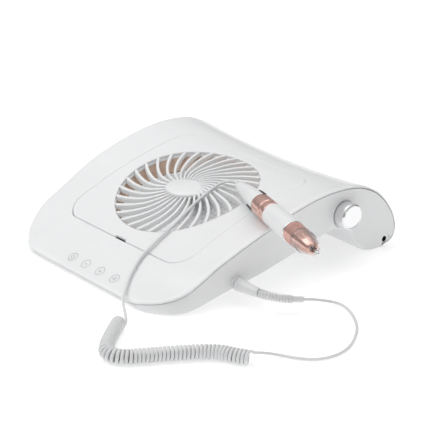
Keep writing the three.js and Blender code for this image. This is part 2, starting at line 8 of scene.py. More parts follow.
import bmesh
import bpy
import numpy as np
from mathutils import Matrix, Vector


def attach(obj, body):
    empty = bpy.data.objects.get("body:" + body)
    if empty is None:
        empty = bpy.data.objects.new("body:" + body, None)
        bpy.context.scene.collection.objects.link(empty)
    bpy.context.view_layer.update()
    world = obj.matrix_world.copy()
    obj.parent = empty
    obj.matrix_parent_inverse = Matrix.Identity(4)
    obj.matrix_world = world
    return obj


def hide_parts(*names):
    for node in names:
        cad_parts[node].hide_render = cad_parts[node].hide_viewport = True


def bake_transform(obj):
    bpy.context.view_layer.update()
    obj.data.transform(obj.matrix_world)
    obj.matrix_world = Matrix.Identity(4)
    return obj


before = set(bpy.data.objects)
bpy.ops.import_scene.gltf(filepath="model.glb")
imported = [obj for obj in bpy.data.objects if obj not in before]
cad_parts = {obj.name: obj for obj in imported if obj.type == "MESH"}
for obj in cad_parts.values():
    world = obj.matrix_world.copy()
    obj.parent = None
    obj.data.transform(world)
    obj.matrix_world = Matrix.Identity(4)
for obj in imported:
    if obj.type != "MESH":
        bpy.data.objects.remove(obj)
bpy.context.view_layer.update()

# ---- Dimensions, in millimetres ----
FRONT_FOOT_Y = -122.0
HALF_WIDTH, FRONT_HALF_WIDTH = 120.0, 114.5
TAPER_FROM_Y, CORNER_Y, CORNER_RADIUS, FRONT_Y = -20.0, -86.0, 50.0, -136.0
COVER, COVER_EDGE, EDGE_ROUNDING = 2.2, 0.9, 6.0
WALL, SEAM_GAP, PANEL_GAP, BOTTOM_ROUNDING = 2.5, 0.75, 0.3, 3.0
COVER_END = 0.975
UNDERSIDE_TILT = math.atan(0.207)
FAN = (-1.5, -12.0, 21.6)
GRILLE_X, GRILLE_Y, GRILLE_RADIUS, GRILLE_RIBS, HUB_RADIUS = -3.6, -11.4, 66.6, 32, 20.5
VANE_SWEEP = math.radians(27)
NOTCH_HALF_WIDTH, NOTCH_DEPTH, NOTCH_END = 7.4, 1.9, 0.9
FILTER_HALF_WIDTH, FILTER_FRONT, FILTER_REAR, FILTER_CORNER = 84.0, -93.0, 66.0, 21.0
KEY_Y, KEY_RADIUS = -124.5, 5.0
KEY_X = {"power": -27.2, "minus": -7.9, "plus": 12.4, "light": 33.2}
KNOB_Y, KNOB_Z, KNOB_RADIUS, KNOB_FACE = 66.6, 48.5, 12.2, 132.5
JACK_Y, JACK_Z, JACK_HOLE, LED_Y, LED_Z, LED_HOLE = 120.8, 8.0, 2.9, 127.0, 8.8, 1.25
HOLE_START, HOLE_END = 113.0, 126.0
SLOT_ROWS = ((59.5, 30), (65.2, 27), (70.9, 24))  # y of each row of exhaust slots, and its lowest z
SLOT_HALF, SLOT_TOP, SLOT_PITCH, SLOT_RIB_HALF = 1.3, 42.0, 61.0, 5.0
CORD_RADIUS, STRAIGHT_RADIUS, COIL_RADIUS, COIL_PITCH = 1.5, 1.3, 6.6, 3.3
CORD_STEP, TURN_POINTS = 2.0, 16
PRINT_BOTTOM, PRINT_TOP = 0.02, 0.14
SHARP_ANGLE = math.radians(35)
TAIL = np.array([46.6, 6.4, 69.4])
TOOL_AXIS = np.array([0.943, -0.33, 0.03]) / np.linalg.norm([0.943, -0.33, 0.03])

# Housing profiles as (y, z): the side seam, the seam surface's centre line, and the underside.
SIDE_SEAM = [
    (-136, 5.6), (-132.5, 8), (-123.5, 11.4), (-108.6, 18), (-91, 28.8), (-59, 43.4), (-33, 54),
    (7, 65.6), (35, 70.6), (60, 71.6), (87, 67.9), (108, 57.8), (122, 43.9), (131.5, 28),
    (134, 14), (129.5, 6.2), (118, 3.5),
]
CENTRE_LINE = [
    (-136, 5.6), (-132.5, 6.9), (-124, 10.4), (-110, 18), (-94, 27.2), (-60, 40.3), (-33, 48.2),
    (7, 57), (35, 61.6), (60, 63.6), (86, 61), (106.5, 52.4), (120, 40.6), (129.5, 27),
    (132.5, 14), (128.8, 6.4), (118, 3.5),
]
UNDERSIDE = [
    (-136, 3), (-133.5, 1), (-126, 1), (-114, 1), (-96, 4.2), (-60, 11.7), (-33, 17.3),
    (7, 25.6), (35, 31.4), (57, 35.6), (70, 32.6), (79.7, 21.5), (87.4, 11), (95, 3.8),
    (104, 1.2), (111, 1), (117.5, 1),
]
RELIEF_ROUTE = [
    (120.6, -58, 17.4), (132, -57.4, 17.2), (143, -55.6, 16.6), (153, -50.5, 15.3),
    (161, -42.2, 13.5), (165.6, -33.6, 11.9), (167.8, -26.5, 10.4),
]
LOOP_ROUTE = [
    (167.9, -26, 10.3), (169.4, -17.5, 8), (171.6, -8.5, 5.2), (175.5, -0.8, 2.9), (183, 3.4, 1.8),
    (196.2, 0.2, 1.7), (210.1, -7.1, 1.7), (223.4, -17.3, 1.7), (235.1, -31.4, 1.7),
    (244.3, -47.8, 1.7), (247.4, -63, 1.7), (244.8, -77, 1.7), (239, -85.6, 1.7),
    (230.5, -92.4, 1.7), (220.5, -98.4, 1.9), (213.4, -105.6, 3.4), (210.6, -113.4, 5.8),
    (210, -120, 7.8),
]
COIL_ROUTE = [
    (211.4, -127.4, 6.7), (200.5, -133.6, 6.7), (189.8, -138.7, 6.7), (180.6, -147.2, 6.7),
    (173.2, -157.6, 6.7), (166, -168.6, 6.7), (159.4, -179.2, 6.7), (152.6, -190.6, 6.7),
    (145.5, -201.5, 6.7), (137.6, -207.8, 6.7), (128.4, -207.6, 6.7), (120.2, -201, 6.7),
    (113.6, -193.8, 6.7), (106.2, -184.6, 6.7), (99, -175.2, 6.7), (92.9, -166.6, 6.7),
]
UPPER_ROUTE = [
    (93.4, -160.4, 9.6), (86.6, -156.2, 10.6), (78.8, -151.2, 11), (70.4, -145.4, 11.2),
    (62.6, -138, 11.6), (55.4, -130, 13.4), (49.8, -123.2, 16.2), (44.5, -113.4, 21.2),
    (40.9, -103.4, 27), (40, -94.6, 32.1), (38.6, -84.2, 36.8), (37.2, -73.6, 40.7),
    (35.6, -62.9, 44.3), (30, -41.5, 51), (25.4, -24, 55.8), (22.6, -9.8, 59.2),
    (21.6, 0.8, 61.9), (24.2, 6.9, 64.6), (30.6, 9.8, 67.3), (38.4, 9.2, 69.1), (46.2, 6.5, 69.4),
]


# ---- Curves and the housing surface ----
def catmull_rom(points, per_span=24):
    """Centripetal Catmull-Rom curve through the points, with per_span samples from each to the next."""
    points = np.array(points, float)
    padded = np.vstack([2 * points[0] - points[1], points, 2 * points[-1] - points[-2]])
    samples = []
    for i in range(1, len(padded) - 2):
        p0, p1, p2, p3 = padded[i - 1 : i + 3]
        spans = (p1 - p0, p2 - p1, p3 - p2)
        d0, d1, d2 = (max(np.linalg.norm(span), 1e-6) ** 0.5 for span in spans)
        t1 = ((p1 - p0) / d0 - (p2 - p0) / (d0 + d1) + (p2 - p1) / d1) * d1
        t2 = ((p2 - p1) / d1 - (p3 - p1) / (d1 + d2) + (p3 - p2) / d2) * d1
        w = np.linspace(0, 1, per_span, endpoint=False)[:, None]
        samples.append(
            p1 + t1 * w + (3 * (p2 - p1) - 2 * t1 - t2) * w**2 + (2 * (p1 - p2) + t1 + t2) * w**3
        )
    return np.vstack(samples + [points[-1:]])


def profile(points):
    """(y, z) along a profile as a function of t, which is even over the points' indices."""
    table = catmull_rom(points, 100)
    steps = np.linspace(0, 1, len(table))
    return lambda t: (np.interp(t, steps, table[:, 0]), np.interp(t, steps, table[:, 1]))


side_seam, centre_line, underside = profile(SIDE_SEAM), profile(CENTRE_LINE), profile(UNDERSIDE)


def half_width(y):
    y = np.asarray(y, float)
    share = np.clip((TAPER_FROM_Y - y) / (TAPER_FROM_Y - CORNER_Y), 0, 1)
    tapered = HALF_WIDTH - (HALF_WIDTH - FRONT_HALF_WIDTH) * share**2 * (3 - 2 * share)
    reach = np.clip(CORNER_Y - y, 0, CORNER_RADIUS)
    return tapered - CORNER_RADIUS + np.sqrt(CORNER_RADIUS**2 - reach**2)


def seam_point(u, t):
    u, t = np.broadcast_arrays(np.asarray(u, float), np.asarray(t, float))
    side_y, side_z = side_seam(t)
    mid_y, mid_z = centre_line(t)
    mix = u * u
    return np.stack(
        [u * half_width(side_y), mid_y + (side_y - mid_y) * mix, mid_z + (side_z - mid_z) * mix], -1
    )


def seam_normal(u, t):
    step = 0.004
    across = seam_point(np.minimum(u + step, 1), t) - seam_point(np.maximum(u - step, -1), t)
    along = seam_point(u, np.minimum(t + step, 1)) - seam_point(u, np.maximum(t - step, 0))
    normal = np.cross(across, along)
    return normal / np.linalg.norm(normal, axis=-1, keepdims=True)


def skin_rise(u, t):
    """Height of the cover's outer skin over the seam surface: full inside, rounded down at the edges."""
    point = seam_point(u, t)
    to_side = (1 - np.abs(u)) * half_width(point[..., 1])
    to_front = np.where(np.asarray(t) < 0.5, point[..., 1] - FRONT_Y, EDGE_ROUNDING)
    inward = np.clip(np.minimum(to_side, to_front) / EDGE_ROUNDING, 0, 1)
    return COVER_EDGE + (COVER - COVER_EDGE) * np.sqrt(inward * (2 - inward))


def parameters_at(x, y):
    """(u, t) of the seam surface over plan points in front of the crest."""
    x, y = np.broadcast_arrays(np.asarray(x, float), np.asarray(y, float))
    low, high = np.zeros(x.shape), np.full(x.shape, 0.62)
    for _ in range(32):
        middle = (low + high) / 2
        u = np.clip(x / half_width(side_seam(middle)[0]), -1, 1)
        behind = seam_point(u, middle)[..., 1] < y
        low, high = np.where(behind, middle, low), np.where(behind, high, middle)
    return np.clip(x / half_width(side_seam(low)[0]), -1, 1), low


def over_plan(x, y, rise):
    """Points over plan positions, at a height above the seam surface measured along +Z."""
    u, t = parameters_at(x, y)
    x, y = np.broadcast_arrays(np.asarray(x, float), np.asarray(y, float))
    return np.stack([x, y, seam_point(u, t)[..., 2] + rise], -1)


# ---- Mesh making ----
def place(points):
    """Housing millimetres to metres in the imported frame."""
    return (np.asarray(points, float) - (0, FRONT_FOOT_Y, 0)) / 1000


def from_tilted(points):
    """The fan's tilted frame, whose z = 0 is the underside, to housing millimetres."""
    c, s = math.cos(UNDERSIDE_TILT), math.sin(UNDERSIDE_TILT)
    turn = np.array([[1, 0, 0], [0, c, -s], [0, s, c]])
    return np.asarray(points, float) @ turn.T + FAN


def make_mesh(name, points, faces, material, body, replaces=(), sharp=35):
    """A piece from housing-frame points in millimetres, smooth shaded up to the sharp angle."""
    mesh = bpy.data.meshes.new(name)
    mesh.from_pydata(place(points).tolist(), [], faces)
    mesh.update()
    work = bmesh.new()
    work.from_mesh(mesh)
    bmesh.ops.remove_doubles(work, verts=work.verts, dist=1e-7)
    bmesh.ops.recalc_face_normals(work, faces=work.faces)
    limit = math.radians(sharp)
    for edge in work.edges:
        edge.smooth = len(edge.link_faces) == 2 and edge.calc_face_angle(math.pi) < limit
    for face in work.faces:
        face.smooth = True
    work.to_mesh(mesh)
    work.free()
    piece = bpy.data.objects.new(name, mesh)
    bpy.context.scene.collection.objects.link(piece)
    mesh.materials.append(material)
    if body:
        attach(piece, body)
    if replaces:
        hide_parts(*replaces)
    return piece


def grid_faces(rows, columns, wrap_rows):
    """Quads between neighbouring closed loops, and from the last loop to the first if it wraps."""
    faces = []
    for i in range(rows if wrap_rows else rows - 1):
        for j in range(columns):
            a, b = i * columns + j, i * columns + (j + 1) % columns
            c, d = ((i + 1) % rows) * columns + (j + 1) % columns, ((i + 1) % rows) * columns + j
            faces.append((a, b, c, d))
    return faces


def lofted(loops, closed=False):
    """(points, faces) of a body between equal closed loops, capped at its ends unless it is a ring."""
    loops = [np.asarray(loop, float) for loop in loops]
    count = len(loops[0])
    faces = grid_faces(len(loops), count, closed)
    if not closed:
        faces.append(tuple(range(count - 1, -1, -1)))
        faces.append(tuple(range((len(loops) - 1) * count, len(loops) * count)))
    return np.vstack(loops), faces


def joined(parts):
    """Several (points, faces) as one."""
    points, faces, start = [], [], 0
    for part_points, part_faces in parts:
        points.append(np.asarray(part_points, float))
        faces += [tuple(start + v for v in face) for face in part_faces]
        start += len(part_points)
    return np.vstack(points), faces


def rounded(corners, radius, steps=4):
    """A polyline's corners rounded: each (a, b) corner becomes an arc-like run of points."""
    corners = [np.array(c, float) for c in corners]
    out = [corners[0]]
    for before, corner, after in zip(corners, corners[1:], corners[2:]):
        to_before, to_after = before - corner, after - corner
        reach = min(radius, 0.45 * np.linalg.norm(to_before), 0.45 * np.linalg.norm(to_after))
        start = corner + to_before / np.linalg.norm(to_before) * reach
        end = corner + to_after / np.linalg.norm(to_after) * reach
        for k in range(steps + 1):
            w = k / steps
            out.append((1 - w) ** 2 * start + 2 * w * (1 - w) * corner + w**2 * end)
    return [tuple(p) for p in out + [corners[-1]]]


def turned(outline, sides, origin, axis):
    """(points, faces) of a profile of (radius, height) turned about an axis from an origin."""
    axis = np.asarray(axis, float) / np.linalg.norm(axis)
    side = np.cross(axis, (0, 0, 1) if abs(axis[2]) < 0.9 else (1, 0, 0))
    side /= np.linalg.norm(side)
    other = np.cross(axis, side)
    angles = np.linspace(0, 2 * math.pi, sides, endpoint=False)
    loops = []
    for radius, height in outline:
        ring = np.outer(np.cos(angles), side) + np.outer(np.sin(angles), other)
        loops.append(np.asarray(origin) + axis * height + ring * max(radius, 1e-4))
    ring_shape = outline[0][0] > 1e-3 and outline[0] != outline[-1]
    return lofted(loops, closed=ring_shape)


# ---- Materials ----
def material(name, color, roughness, metallic=0.0, coat=0.0, subsurface=0.0, grain=0.0,
             grain_scale=900.0, variation=0.02, transmission=0.0, ior=1.46):
    """Principled material with a slight colour and roughness variation and a fine moulded grain."""
    made = bpy.data.materials.new(name)
    made.use_nodes = True
    nodes, links = made.node_tree.nodes, made.node_tree.links
    shader = nodes["Principled BSDF"]
    shader.inputs["Metallic"].default_value = metallic
    shader.inputs["Coat Weight"].default_value = coat
    shader.inputs["Coat Roughness"].default_value = 0.12
    shader.inputs["Transmission Weight"].default_value = transmission
    shader.inputs["IOR"].default_value = ior
    if subsurface:
        shader.inputs["Subsurface Weight"].default_value = subsurface
        shader.inputs["Subsurface Scale"].default_value = 0.003
        shader.inputs["Subsurface Radius"].default_value = (1.0, 0.95, 0.9)
    where = nodes.new("ShaderNodeTexCoord")
    cloud = nodes.new("ShaderNodeTexNoise")
    cloud.inputs["Scale"].default_value = 38.0
    cloud.inputs["Detail"].default_value = 3.0
    links.new(where.outputs["Object"], cloud.inputs["Vector"])
    tint = nodes.new("ShaderNodeMix")
    tint.data_type = "RGBA"
    tint.inputs["A"].default_value = (*(c * (1 - variation) for c in color), 1)
    tint.inputs["B"].default_value = (*(min(1, c * (1 + variation)) for c in color), 1)
    links.new(cloud.outputs["Fac"], tint.inputs["Factor"])
    links.new(tint.outputs["Result"], shader.inputs["Base Color"])
    spread = nodes.new("ShaderNodeMapRange")
    spread.inputs["To Min"].default_value = roughness * 0.9
    spread.inputs["To Max"].default_value = min(1.0, roughness * 1.1)
    links.new(cloud.outputs["Fac"], spread.inputs["Value"])
    links.new(spread.outputs["Result"], shader.inputs["Roughness"])
    if grain:
        fine = nodes.new("ShaderNodeTexNoise")
        fine.inputs["Scale"].default_value = grain_scale
        fine.inputs["Detail"].default_value = 2.0
        links.new(where.outputs["Object"], fine.inputs["Vector"])
        bump = nodes.new("ShaderNodeBump")
        bump.inputs["Strength"].default_value = grain
        bump.inputs["Distance"].default_value = 0.0001
        links.new(fine.outputs["Fac"], bump.inputs["Height"])
        links.new(bump.outputs["Normal"], shader.inputs["Normal"])
    return made


WAVES_PER_UNIT_SCALE = 20
WEAVE_SHADE = 0.78


def weave_material(name, color, pitch_mm):
    """Fine woven filter: two crossed wave bands drive the colour and the bump."""
    made = material(name, color, 0.85)
    nodes, links = made.node_tree.nodes, made.node_tree.links
    shader = nodes["Principled BSDF"]
    where = nodes.new("ShaderNodeTexCoord")
    bands = []
    for direction in ("X", "Y"):
        wave = nodes.new("ShaderNodeTexWave")
        wave.bands_direction = direction
        wave.inputs["Scale"].default_value = 1000 / pitch_mm / WAVES_PER_UNIT_SCALE
        links.new(where.outputs["Object"], wave.inputs["Vector"])
        bands.append(wave)
    threads = nodes.new("ShaderNodeMath")
    threads.operation = "MAXIMUM"
    links.new(bands[0].outputs["Fac"], threads.inputs[0])
    links.new(bands[1].outputs["Fac"], threads.inputs[1])
    mix = nodes.new("ShaderNodeMix")
    mix.data_type = "RGBA"
    mix.inputs["A"].default_value = (*(c * WEAVE_SHADE for c in color), 1)
    mix.inputs["B"].default_value = (*color, 1)
    links.new(threads.outputs["Value"], mix.inputs["Factor"])
    links.new(mix.outputs["Result"], shader.inputs["Base Color"])
    bump = nodes.new("ShaderNodeBump")
    bump.inputs["Strength"].default_value = 0.6
    bump.inputs["Distance"].default_value = 0.0003
    links.new(threads.outputs["Value"], bump.inputs["Height"])
    links.new(bump.outputs["Normal"], shader.inputs["Normal"])
    return made


def brushed_material(name, color, roughness, centre_mm):
    """Metal with fine concentric turning marks about an axis along X."""
    made = material(name, color, roughness, metallic=1.0)
    nodes, links = made.node_tree.nodes, made.node_tree.links
    where = nodes.new("ShaderNodeTexCoord")
    shift = nodes.new("ShaderNodeVectorMath")
    shift.operation = "SUBTRACT"
    shift.inputs[1].default_value = tuple(c / 1000 for c in centre_mm)
    links.new(where.outputs["Object"], shift.inputs[0])
    rings = nodes.new("ShaderNodeTexWave")
    rings.wave_type = "RINGS"
    rings.rings_direction = "X"
    rings.inputs["Scale"].default_value = 260.0
    rings.inputs["Distortion"].default_value = 0.4
    links.new(shift.outputs["Vector"], rings.inputs["Vector"])
    bump = nodes.new("ShaderNodeBump")
    bump.inputs["Strength"].default_value = 0.35
    bump.inputs["Distance"].default_value = 0.00006
    links.new(rings.outputs["Fac"], bump.inputs["Height"])
    links.new(bump.outputs["Normal"], nodes["Principled BSDF"].inputs["Normal"])
    return made


WHITE = material("white_abs", (0.845, 0.85, 0.855), 0.34, coat=0.25, subsurface=0.05, grain=0.05)
SHELL = material("white_abs_shell", (0.79, 0.795, 0.80), 0.36, coat=0.15, grain=0.06)
KEY = material("key_plastic", (0.82, 0.825, 0.83), 0.28, coat=0.3, grain=0.03)
PRINT = material("grey_print", (0.30, 0.31, 0.33), 0.5)
DUCT = material("duct_plastic", (0.72, 0.72, 0.70), 0.55, grain=0.1)
TAN = material("tan_plastic", (0.56, 0.40, 0.31), 0.5, grain=0.1)
MESH = weave_material("filter_weave", (0.84, 0.85, 0.86), 0.9)
BLACK = material("black_plastic", (0.012, 0.012, 0.014), 0.42, grain=0.1)
RUBBER = material("foot_rubber", (0.025, 0.025, 0.026), 0.8, grain=0.3)
JACKET = material("cord_jacket", (0.74, 0.745, 0.75), 0.38, coat=0.1, grain=0.05)
CHROME = material("chrome", (0.86, 0.86, 0.87), 0.14, metallic=1.0, grain=0.02, grain_scale=300)
KNOB_CENTRE = (0.0, KNOB_Y - FRONT_FOOT_Y, KNOB_Z)
BRUSHED = brushed_material("brushed_metal", (0.80, 0.80, 0.81), 0.2, KNOB_CENTRE)
STEEL = material("steel", (0.62, 0.62, 0.64), 0.3, metallic=1.0, grain=0.05, grain_scale=500)
ROSE = material("rose_gold", (0.78, 0.50, 0.44), 0.24, metallic=0.85, grain=0.04)
BOARD = material("circuit_board", (0.02, 0.16, 0.07), 0.45, grain=0.1)
LENS = material("led_lens", (0.60, 0.66, 0.62), 0.15, coat=0.5)
CLEAR = material("clear_cap", (0.97, 0.92, 0.90), 0.05, transmission=0.95, ior=1.42, variation=0.01)


# ---- Housing ----
def corner_arc(side, base, up, radius):
    """A quarter round from a wall at x = side down to the floor through base."""
    angles = np.linspace(0, math.pi / 2, 9)
    return [
        (side - radius * (1 - math.cos(a)), *(base + up * radius * (1 - math.sin(a)))) for a in angles
    ]


def mirrored(run):
    return [(-x, y, z) for x, y, z in reversed(run)]


def tub():
    """The lower shell: a U-shaped section swept from the front lip to the rear edge."""
    front_rows, hollow_from, hollow_to, hollow_ramp = 0.12, 0.085, 0.95, 0.01
    rows = np.unique(np.concatenate([
        np.linspace(0, 1, 40) ** 2 * front_rows, np.linspace(front_rows, 1, 150),
    ]))
    across = np.concatenate([[-1, -0.98], np.linspace(-0.95, 0.95, 21), [0.98, 1]])
    loops = []
    for t in rows:
        side_y, side_z = side_seam(t)
        low_y, low_z = underside(t)
        seam, floor = np.array([side_y, side_z]), np.array([low_y, low_z])
        up = seam - floor
        depth = np.linalg.norm(up)
        up /= depth
        width = float(half_width(side_y))
        fillet = max(0.4, min(BOTTOM_ROUNDING, 0.45 * depth))
        right = corner_arc(width, floor, up, fillet)
        left = mirrored(right)
        rim = seam_point(across, t) - seam_normal(across, np.full(across.shape, t)) * SEAM_GAP
        rim[:, 0] = across * width
        opening = np.clip((t - hollow_from) / hollow_ramp, 0, 1)
        cavity = float(opening * np.clip((hollow_to - t) / hollow_ramp, 0, 1))
        inner_side = width - WALL
        round_in = max(fillet - WALL, 0.3)
        deep_floor = floor + up * WALL
        bend = corner_arc(inner_side, deep_floor, up, round_in)
        flat_x = np.linspace(inner_side - round_in, round_in - inner_side, 19)[1:-1]
        inside = []
        for point in bend + [(x, *deep_floor) for x in flat_x] + mirrored(bend):
            share = point[0] / width
            flat = np.array([point[0], *(np.interp(share, across, rim[:, k]) for k in (1, 2))])
            inside.append(flat + (np.array(point) - flat) * cavity)
        top_right, top_left = rim[-1], rim[0]
        inside.insert(0, np.array([inner_side + 0.01, *top_right[1:]]))
        inside.append(np.array([-inner_side - 0.01, *top_left[1:]]))
        loops.append(np.vstack([left, [top_left], inside[::-1], [top_right], right]))
    points, faces = lofted(loops)
    return make_mesh("housing_tub", points, faces, SHELL, "root", ["lower_shell"])


def cutter(parts):
    """One object that holds the shapes to cut away."""
    points, faces = joined(parts)
    mesh = bpy.data.meshes.new("cutter")
    mesh.from_pydata(place(points).tolist(), [], faces)
    work = bmesh.new()
    work.from_mesh(mesh)
    bmesh.ops.recalc_face_normals(work, faces=work.faces)
    work.to_mesh(mesh)
    work.free()
    made = bpy.data.objects.new("cutter", mesh)
    bpy.context.scene.collection.objects.link(made)
    return made


def box_part(low, high):
    (x0, y0, z0), (x1, y1, z1) = low, high
    loops = [[(x0, y0, z), (x1, y0, z), (x1, y1, z), (x0, y1, z)] for z in (z0, z1)]
    return lofted(loops)


def rod_part(radius, low, high, y, z, sides):
    """Plain cylinder along +X, as a cutter."""
    angles = np.linspace(0, 2 * math.pi, sides, endpoint=False)
    return lofted([
        np.stack([np.full(sides, x), y + radius * np.cos(angles), z + radius * np.sin(angles)], -1)
        for x in (low, high)
    ])


def cut_holes(piece, parts):
    """Cut the shapes out of a piece, and set its edges sharp again."""
    tool = cutter(parts)
    cut = piece.modifiers.new("holes", "BOOLEAN")
    cut.object = tool
    cut.solver = "EXACT"
    depsgraph = bpy.context.evaluated_depsgraph_get()
    mesh = bpy.data.meshes.new_from_object(piece.evaluated_get(depsgraph))
    piece.modifiers.clear()
    old = piece.data
    piece.data = mesh
    bpy.data.meshes.remove(old)
    bpy.data.objects.remove(tool)
    piece.data.name = piece.name
    work = bmesh.new()
    work.from_mesh(piece.data)
    for edge in work.edges:
        edge.smooth = len(edge.link_faces) == 2 and edge.calc_face_angle(math.pi) < SHARP_ANGLE
    work.to_mesh(piece.data)
    work.free()


def shell_holes():
    """Jack and LED holes, and the exhaust slots along the arch crown."""
    parts = [
        rod_part(JACK_HOLE, HOLE_START, HOLE_END, JACK_Y, JACK_Z, 48),
        rod_part(LED_HOLE, HOLE_START, HOLE_END, LED_Y, LED_Z, 24),
    ]
    for y, low in SLOT_ROWS:
        for bay in range(-2, 2):
            start = bay * SLOT_PITCH + SLOT_RIB_HALF
            end = (bay + 1) * SLOT_PITCH - SLOT_RIB_HALF
            parts.append(box_part((start, y - SLOT_HALF, low), (end, y + SLOT_HALF, SLOT_TOP)))
    return parts


def filter_outline(angles, grow):
    """Plan points of the filter cover's rounded outline, at angles about the fan's centre."""
    half, corner = FILTER_HALF_WIDTH + grow, FILTER_CORNER + grow
    front, rear = FILTER_FRONT - grow, FILTER_REAR + grow
    dense = []
    for cx, cy, start in (
        (half - corner, front + corner, -90), (half - corner, rear - corner, 0),
        (-half + corner, rear - corner, 90), (-half + corner, front + corner, 180),
    ):
        for a in np.radians(np.linspace(start, start + 90, 40)):
            dense.append((cx + corner * math.cos(a), cy + corner * math.sin(a)))
    dense = np.array(dense + dense[:1])
    along = np.concatenate([[0], np.cumsum(np.linalg.norm(np.diff(dense, axis=0), axis=1))])
    fine = np.linspace(0, along[-1], 6000)
    x, y = np.interp(fine, along, dense[:, 0]), np.interp(fine, along, dense[:, 1])
    around = np.unwrap(np.arctan2(y - FAN[1], x - FAN[0]))
    turn = 2 * math.pi
    wanted = (np.asarray(angles) - around[0]) % turn + around[0]
    return np.interp(wanted, around, x), np.interp(wanted, around, y)


def edge_roll(distance):
    """How far a panel's edge drops at a distance from it, in a small round."""
    size, drop = 0.6, 0.45
    inside = np.clip(distance / size, 0, 1)
    return drop * (1 - np.sqrt(inside * (2 - inside)))


def top_cover():
    """One skin from the filter opening out to the seams, over the crest and under the rear roll."""
    per_end, per_side, stretch, turn = 110, 170, 2.2, 2 * math.pi
    edge = []
    for (u0, t0), (u1, t1), count in (
        ((-1, 0), (1, 0), per_end), ((1, 0), (1, COVER_END), per_side),
        ((1, COVER_END), (-1, COVER_END), per_end), ((-1, COVER_END), (-1, 0), per_side),
    ):
        for k in range(count):
            w = k / count
            edge.append((u0 + (u1 - u0) * w, t0 + (t1 - t0) * w))
    edge = np.array(edge)
    angles = np.linspace(-math.pi, math.pi, 2400, endpoint=False)
    inner_u, inner_t = parameters_at(*filter_outline(angles, 0.0))
    centre_t = float(parameters_at(0, FAN[1])[1])
    polar = np.unwrap(np.arctan2((inner_t - centre_t) * stretch, inner_u))
    reach = np.hypot((inner_t - centre_t) * stretch, inner_u)
    order = np.argsort(polar)
    polar, reach = polar[order], reach[order]
    edge_angle = np.arctan2((edge[:, 1] - centre_t) * stretch, edge[:, 0])
    wanted = (edge_angle - polar[0]) % turn + polar[0]
    radius = np.interp(wanted, np.append(polar, polar[0] + turn), np.append(reach, reach[0]))
    start = np.stack(
        [radius * np.cos(edge_angle), centre_t + radius * np.sin(edge_angle) / stretch], -1)
    walk = np.linspace(0, 1, 60)[:, None, None]
    track = seam_point(*np.moveaxis(start + (edge - start) * walk, -1, 0))
    length = np.linalg.norm(np.diff(track, axis=0), axis=-1).sum(0)
    near = [0.0, 0.12, 0.3, 0.6, 1.2]
    far = [7.0, 5.0, 3.4, 2.2, 1.3, 0.7, 0.3, 0.0]
    shares = [d / length for d in near]
    shares += [w + 0 * length for w in np.linspace(0, 1, 46)[1:-1]]
    shares += [1 - d / length for d in far]
    shares = np.sort(np.array(shares), axis=0)

    def ring(share, outside):
        u, t = np.moveaxis(start + (edge - start) * share[:, None], -1, 0)
        rise = skin_rise(u, t) - edge_roll(share * length) if outside else np.zeros(u.shape)
        return seam_point(u, t) + seam_normal(u, t) * rise[:, None]

    rings = [ring(share, False) for share in shares[::-1][::3]] + [ring(shares[0], False)]
    rings += [ring(share, True) for share in shares]
    points, faces = lofted(rings, closed=True)
    return make_mesh("housing_cover", points, faces, WHITE, "root", ["top_cover"])


def filter_cover():
    """Lift-off panel between the grille's opening and its outline, with a finger notch in front."""
    angles = np.linspace(-math.pi, math.pi, 960, endpoint=False)
    circle = np.stack([np.cos(angles), np.sin(angles)], -1)
    inner = np.array([GRILLE_X, GRILLE_Y]) + GRILLE_RADIUS * circle
    outer = np.stack(filter_outline(angles, -PANEL_GAP), -1)
    into_notch = NOTCH_HALF_WIDTH - np.abs(outer[:, 0])
    in_front = outer[:, 1] < 0
    outer[:, 1] += np.where(in_front, NOTCH_DEPTH * np.clip(into_notch / NOTCH_END, 0, 1), 0)
    length = np.linalg.norm(outer - inner, axis=1)
    near, far = [0.0, 0.12, 0.3, 0.6, 1.2], [3.2, 2.4, 1.7, 1.1, 0.6, 0.3, 0.12, 0.0]
    shares = [d / length for d in near] + [w + 0 * length for w in np.linspace(0, 1, 14)[1:-1]]
    shares = np.sort(np.array(shares + [1 - d / length for d in far]), axis=0)

    def ring(share, rise, top):
        plan = inner + (outer - inner) * share[:, None]
        to_inner, to_outer = share * length, (1 - share) * length
        lift = rise - (edge_roll(to_inner) + edge_roll(to_outer)) * top
        return over_plan(plan[:, 0], plan[:, 1], lift)

    rings = [ring(share, 0.0, 0) for share in shares[::-1][::3]] + [ring(shares[0], 0.0, 0)]
    rings += [ring(share, COVER * 1.02, 1) for share in shares]
    points, faces = lofted(rings, closed=True)
    return make_mesh("filter_lid", points, faces, WHITE, "filter_cover", ["filter_cover"])


# ---- Grille ----
def grille_height(radius):
    """Height of the vanes' tops over the seam surface: level at the rim, swelling to the domed hub."""
    inward = np.clip((44.0 - np.asarray(radius, float)) / 28.0, 0, 1)
    return COVER - 0.1 + 3.0 * inward**2 * (3 - 2 * inward)


def grille_at(radius, angle, rise):
    return over_plan(GRILLE_X + radius * np.cos(angle), GRILLE_Y + radius * np.sin(angle), rise)


